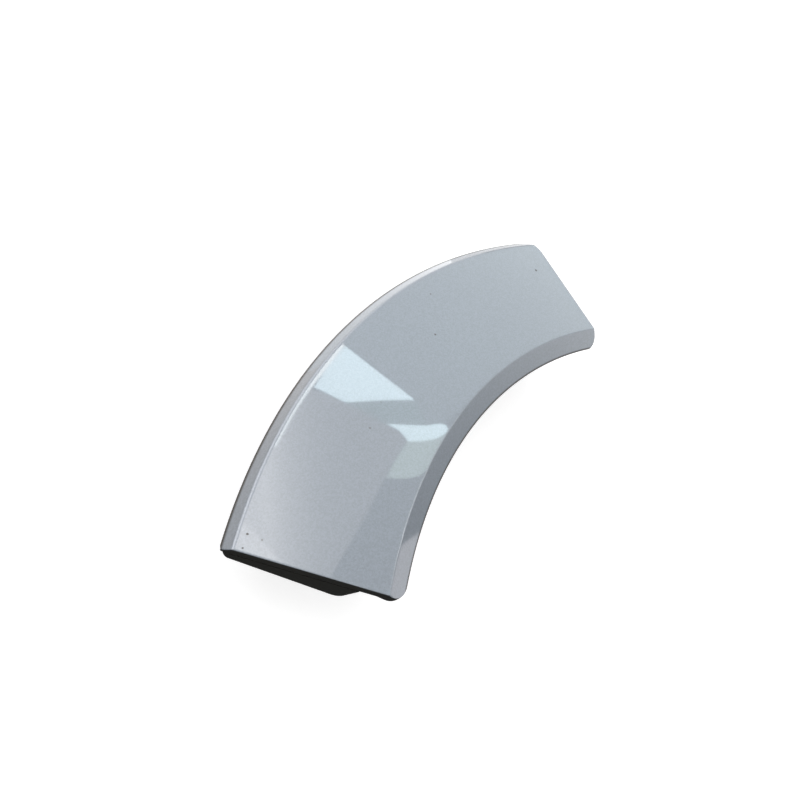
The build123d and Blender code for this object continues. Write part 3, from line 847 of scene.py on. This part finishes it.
CARDS = (
    ReflectionCard(
        "tall_window",
        (
            (345.4, 345.9),
            (415.1, 400.0),
            (383.0, 400.4),
            (345.4, 402.4),
            (326.7, 393.3),
            (313.8, 387.4),
            (328.4, 366.2),
        ),
        strength=10.6,
        colour=(0.77, 0.94, 1.0),
    ),
    ReflectionCard(
        "low_window",
        (
            (385.4, 423.6),
            (407.2, 424.8),
            (425.4, 425.2),
            (441.5, 423.4),
            (446.0, 424.8),
            (448.4, 429.0),
            (446.0, 434.0),
            (435.1, 439.3),
            (420.0, 441.3),
            (407.2, 441.2),
            (405.0, 437.0),
            (398.7, 430.3),
        ),
        strength=10.4,
        colour=(0.77, 0.95, 1.0),
    ),
    ReflectionCard(
        "pale_wall",
        (
            (407.2, 441.2),
            (420.0, 441.3),
            (435.1, 439.3),
            (446.0, 434.5),
            (441.5, 446.0),
            (427.0, 469.5),
            (418.5, 476.5),
            (403.0, 479.0),
            (386.4, 477.6),
            (394.0, 462.0),
        ),
        strength=4.2,
        colour=(0.84, 1.0, 0.92),
    ),
    ReflectionCard(
        "crest_glint",
        (
            (345.0, 345.6),
            (329.0, 365.6),
            (315.2, 383.0),
            (304.5, 397.5),
            (295.0, 412.0),
            (286.0, 428.0),
            (276.0, 447.0),
            (269.0, 443.0),
            (279.0, 424.0),
            (288.0, 408.0),
            (297.5, 393.5),
            (308.0, 379.0),
            (322.0, 361.0),
            (338.0, 341.0),
        ),
        strength=11.0,
        colour=(0.95, 1.0, 1.0),
        distance=1.45,
    ),
    ReflectionCard(
        "window_sill",
        (
            (326.7, 393.6),
            (345.4, 402.6),
            (383.0, 400.6),
            (415.6, 400.2),
            (425.2, 423.6),
            (407.2, 424.2),
            (385.4, 423.2),
            (364.0, 411.2),
            (345.4, 403.3),
        ),
        strength=2.3,
        colour=(0.80, 1.0, 0.98),
    ),
    ReflectionCard(
        "near_sheet",
        (
            (300.0, 386.0),
            (326.7, 394.5),
            (345.4, 403.6),
            (364.0, 411.5),
            (385.4, 424.8),
            (398.7, 431.5),
            (404.0, 437.2),
            (406.0, 441.2),
            (392.7, 463.0),
            (321.0, 592.0),
            (222.0, 570.0),
            (225.0, 546.0),
            (236.0, 508.0),
            (249.0, 476.0),
            (264.0, 444.0),
            (280.0, 418.0),
        ),
        strength=2.15,
        colour=(1.0, 0.97, 0.96),
        fade=Fade(from_corner=8, to_corner=14, strength=6.4, power=3.6),
    ),
    ReflectionCard(
        "far_wall",
        (
            (338.0, 337.5),
            (416.5, 399.5),
            (420.0, 410.0),
            (425.4, 424.0),
            (447.0, 422.0),
            (470.0, 400.0),
            (620.0, 360.0),
            (570.0, 200.0),
            (420.0, 240.0),
        ),
        strength=2.2,
        colour=(0.89, 0.97, 1.0),
        fade=Fade(from_corner=1, to_corner=7, strength=3.1),
    ),
)


@dataclass(frozen=True)
class SkyCard:
    """A bright or dark card that only reflections see, placed by the directions that it fills.

    Its low and its high edge are given from one end to the other, as azimuth and elevation in
    degrees. The azimuth turns from +X towards +Y and the elevation rises from the floor.
    """

    name: str
    low: tuple[tuple[float, float], ...]
    high: tuple[tuple[float, float], ...]
    strength: float
    fade: Fade | None = None
    colour: tuple[float, float, float] = Colour.WHITE.value
    distance: float = 1.2

    def build(self) -> None:
        """Makes the card as a bent sheet whose corners lie on a ball about the part."""
        azimuth, elevation = np.radians(np.array(self.low + self.high)).T
        flat = np.cos(elevation)
        towards = np.stack([flat * np.cos(azimuth), flat * np.sin(azimuth), np.sin(elevation)], 1)
        points = self.distance * towards
        width = len(self.low)
        start = np.arange(width - 1)
        sheet = np.stack([start, start + 1, start + 1 + width, start + width], 1)
        stage_card(self.name, points, self.strength, self.colour, self.fade, sheet.tolist())


SKY_CARDS = (
    SkyCard(
        "inner_flag",
        ((-80.0, 7.5), (-50.0, 7.5), (-20.0, 7.5)),
        ((-80.0, 34.0), (-50.0, 34.0), (-20.0, 34.0)),
        strength=0.0,
        fade=Fade(from_corner=1, to_corner=4, strength=3.2, power=1.6),
    ),
    SkyCard(
        "inner_floor",
        ((-80.0, -3.0), (-50.0, -3.0), (-20.0, -3.0)),
        ((-80.0, 7.5), (-50.0, 7.5), (-20.0, 7.5)),
        strength=2.1,
        colour=(1.0, 0.97, 1.0),
    ),
    SkyCard(
        "crease_strip",
        ((-32.0, 46.0), (-8.0, 46.0)),
        ((-32.0, 61.0), (-8.0, 61.0)),
        strength=6.5,
        distance=1.1,
    ),
    SkyCard(
        "crest_strip",
        (
            (27.0, -4.0),
            (35.0, 0.0),
            (44.0, 5.0),
            (55.0, 12.0),
            (65.0, 18.0),
            (78.0, 24.0),
            (94.0, 29.0),
            (116.0, 34.0),
        ),
        (
            (17.0, 25.0),
            (22.0, 30.0),
            (26.0, 35.0),
            (31.0, 40.0),
            (38.0, 46.0),
            (48.0, 52.0),
            (64.0, 58.0),
            (88.0, 63.0),
        ),
        strength=2.0,
        fade=Fade(from_corner=0, to_corner=6, strength=6.5, power=1.8),
        colour=(1.0, 0.98, 1.0),
    ),
    SkyCard(
        "outer_wall",
        ((48.0, -1.0), (79.0, -1.0), (110.0, -1.0)),
        ((48.0, 22.0), (79.0, 22.0), (110.0, 22.0)),
        strength=2.2,
        fade=Fade(from_corner=1, to_corner=4, strength=0.2),
        colour=(1.0, 0.88, 0.78),
        distance=1.3,
    ),
)


@dataclass(frozen=True)
class FloorCard:
    """A bright or dark sheet on the floor that only reflections see. Corners are metres in plan."""

    name: str
    corners: tuple[tuple[float, float], ...]
    strength: float
    lift: float = 0.1 * MM

    def build(self, floor_height: float) -> None:
        """Makes the sheet just over the floor."""
        points = np.array([(x, y, floor_height + self.lift) for x, y in self.corners])
        stage_card(self.name, points, self.strength, Colour.WHITE.value)


FLOOR_CARDS = (
    FloorCard(
        "end_flag",
        ((-0.30, -0.30), (-0.02, -0.12), (-0.05, 0.04), (-0.30, 0.05)),
        strength=0.05,
    ),
    FloorCard(
        "outer_sheet",
        ((-0.02, 0.06), (0.08, 0.035), (1.8, 1.1), (1.8, 1.8), (0.5, 1.8)),
        strength=2.5,
    ),
)


def stage_card(
    name: str,
    corners: np.ndarray,
    strength: float,
    colour: tuple[float, float, float],
    fade: Fade | None = None,
    sheet: list | None = None,
) -> None:
    """Makes a glowing card of the studio that only reflections see.

    Args:
        name: the card's name.
        corners: N by 3 corners of its outline.
        strength: its glow, where 1 is white.
        colour: the glow's colour.
        fade: how the glow changes over the card, if it does.
        sheet: the faces of a bent card. A flat one is a single face.
    """
    material, graph = stage_material(name)
    level = fade.level(graph, corners, strength) if fade else strength
    glow = graph.node("ShaderNodeEmission", {"Color": (*colour, 1.0), "Strength": level})
    graph.node("ShaderNodeOutputMaterial", {"Surface": glow.outputs[0]})
    outline = [tuple(range(len(corners)))]
    card = new_piece(name, corners.tolist(), sheet or outline, material)
    card.visible_camera = False
    card.visible_diffuse = False
    card.visible_shadow = False
    card.visible_transmission = False
    card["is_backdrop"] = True


def stage_material(name: str) -> tuple[bpy.types.Material, Graph]:
    """Starts a material of the studio, with no nodes.

    Args:
        name: the material's name.

    Returns:
        The material and its empty graph.
    """
    material = bpy.data.materials.new(name)
    material.use_nodes = True
    material.node_tree.nodes.clear()
    return material, Graph(material.node_tree)


@dataclass
class Studio:
    """Pale floor, a soft lamp, reflection cards, white background and the camera. Sizes are metres."""

    view: PhotoView
    cover: CoverShell
    floor_gap: float = 0.3 * MM
    floor_size: float = 6.0
    floor_glow: float = 0.60
    day_level: float = 0.62
    lamp_power: float = 4.6
    lamp_size: float = 1.1
    lamp_place: Vector = Vector((-0.15, 0.35, 1.15))
    clip_start: float = 5.0 * MM

    def floor_finish(self) -> bpy.types.Material:
        """Makes the floor's finish, pale from above and see-through from below.

        Returns:
            The material.
        """
        material, graph = stage_material("pale_floor")
        pale = graph.node("ShaderNodeBsdfDiffuse", {"Color": Colour.FLOOR})
        level = graph.math("MULTIPLY", graph.seen_directly(), self.floor_glow)
        glow = graph.node("ShaderNodeEmission", {"Color": Colour.WHITE, "Strength": level})
        lit = graph.node("ShaderNodeAddShader", {0: pale.outputs[0], 1: glow.outputs[0]})
        clear = graph.node("ShaderNodeBsdfTransparent")
        below = graph.node("ShaderNodeNewGeometry").outputs["Backfacing"]
        both = graph.node("ShaderNodeMixShader", {0: below, 1: lit.outputs[0], 2: clear.outputs[0]})
        graph.node("ShaderNodeOutputMaterial", {"Surface": both.outputs[0]})
        return material

    def floor(self) -> float:
        """Makes the square floor under the lowest point of the part.

        Returns:
            The floor's height.
        """
        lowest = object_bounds()[0][2] - self.floor_gap
        half = self.floor_size / 2
        turns = ((-1, -1), (1, -1), (1, 1), (-1, 1))
        corners = [(half * x, half * y, lowest) for x, y in turns]
        floor = new_piece("floor", corners, [(0, 1, 2, 3)], self.floor_finish())
        floor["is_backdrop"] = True
        return lowest

    def world(self) -> None:
        """White background for the eye, reflections and glass, and plain day light for the rest."""
        world = bpy.data.worlds.new("white_room")
        bpy.context.scene.world = world
        world.use_nodes = True
        graph = Graph(world.node_tree)
        level = graph.raised(self.day_level, graph.seen_directly(), 1.0 - self.day_level)
        background = world.node_tree.nodes["Background"]
        graph.feed(background.inputs["Color"], Colour.WHITE)
        graph.feed(background.inputs["Strength"], level)

    def lamp(self) -> None:
        """Adds the soft round lamp, which looks at the part."""
        data = bpy.data.lights.new("key_lamp", "AREA")
        data.shape, data.size, data.energy = "DISK", self.lamp_size, self.lamp_power
        lamp = linked("key_lamp", data)
        lamp.matrix_world = aimed(self.lamp_place, Vector((0.0, 0.0, 0.0)), Vector((0.0, 0.0, 1.0)))

    def camera(self) -> None:
        """Places the camera at the photograph's point of view."""
        data = bpy.data.cameras.new("photo_view")
        data.lens, data.sensor_width = self.view.lens, self.view.sensor
        data.clip_start = self.clip_start
        camera = linked("photo_view", data)
        camera.matrix_world = self.view.matrix()
        bpy.context.scene.camera = camera

    def build(self) -> None:
        """Sets up the whole studio."""
        self.world()
        floor_height = self.floor()
        self.lamp()
        for card in CARDS:
            card.build(self.view, self.cover)
        for card in SKY_CARDS:
            card.build()
        for card in FLOOR_CARDS:
            card.build(floor_height)
        self.camera()
        bpy.context.scene.view_settings.view_transform = "Standard"


def aimed(place: Vector, aim: Vector, up: Vector) -> Matrix:
    """Matrix of a camera or lamp at a place that looks at a point.

    Args:
        place: where it stands.
        aim: what it looks at.
        up: direction that points up in its picture, roughly.

    Returns:
        The 4 by 4 matrix with its own -Z along the view.
    """
    back = (place - aim).normalized()
    right = up.cross(back).normalized()
    turn = Matrix((right, back.cross(right), back)).transposed()
    return Matrix.Translation(place) @ turn.to_4x4()


def make_finishes(view: PhotoView, cover: CoverShell) -> dict[str, bpy.types.Material]:
    """Makes every finish of the handle.

    Args:
        view: the photograph's point of view, which places the specks.
        cover: the shell that carries the specks.

    Returns:
        The materials by name.
    """
    effects = SharedEffects()
    spots = view.on_face(np.array([speck.pixel for speck in SPECKS]), cover)
    finishes = (
        SilverLacquer(effects, SPECKS, spots, cover.long_edges()),
        MouldedPlastic(effects, "black_plastic", Colour.BLACK_ABS, roughness=0.38, dust=0.03),
        MouldedPlastic(effects, "rubber", Colour.RUBBER, roughness=0.7, dust=0.05, grain=1500.0),
        Metal(effects, "drawn_steel", Colour.STEEL, roughness=0.22, grain=900.0, stretch=(0.05, 1.0, 1.0)),
        Metal(effects, "spring_wire", Colour.SPRING_STEEL, roughness=0.28, grain=1500.0),
        Metal(effects, "plated_screw", Colour.ZINC_PLATE, roughness=0.25, grain=2000.0),
        Metal(effects, "cast_zinc", Colour.CAST_ZINC, roughness=0.38, grain=1800.0, grain_height=0.04 * MM),
    )
    return {finish.name: finish.build() for finish in finishes}


# The kept CAD nodes that each finish is for
WORN_BY = {
    "black_plastic": ("lever_frame", "base_housing"),
    "rubber": ("stop_buffer_left", "stop_buffer_right"),
    "drawn_steel": ("pivot_pin", "hook_pin"),
    "spring_wire": ("pivot_clip", "hook_clip", "return_spring", "hook_spring"),
    "plated_screw": ("cover_screw_1", "cover_screw_2", "cover_screw_3", "cover_screw_4"),
    "cast_zinc": ("latch_hook",),
}


def dress(names: tuple[str, ...], finish: bpy.types.Material) -> None:
    """Gives kept CAD nodes a finish.

    Args:
        names: the nodes to dress.
        finish: the material.
    """
    for name in names:
        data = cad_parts[name].data
        data.materials.clear()
        data.materials.append(finish)
        LOG.info("dressed %s in %s", name, finish.name)


def main() -> None:
    """Builds the pieces and the studio in order."""
    logging.basicConfig(level=logging.INFO, format="%(name)s: %(message)s")
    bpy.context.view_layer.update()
    view, cover = PhotoView(), CoverShell()
    finishes = make_finishes(view, cover)
    cover.build(finishes["silver_lacquer"])
    LOG.info("built the silver cover shell")
    for name, nodes in WORN_BY.items():
        dress(nodes, finishes[name])
    Studio(view, cover).build()
    LOG.info("built the studio")


if __name__ == "__main__":
    main()
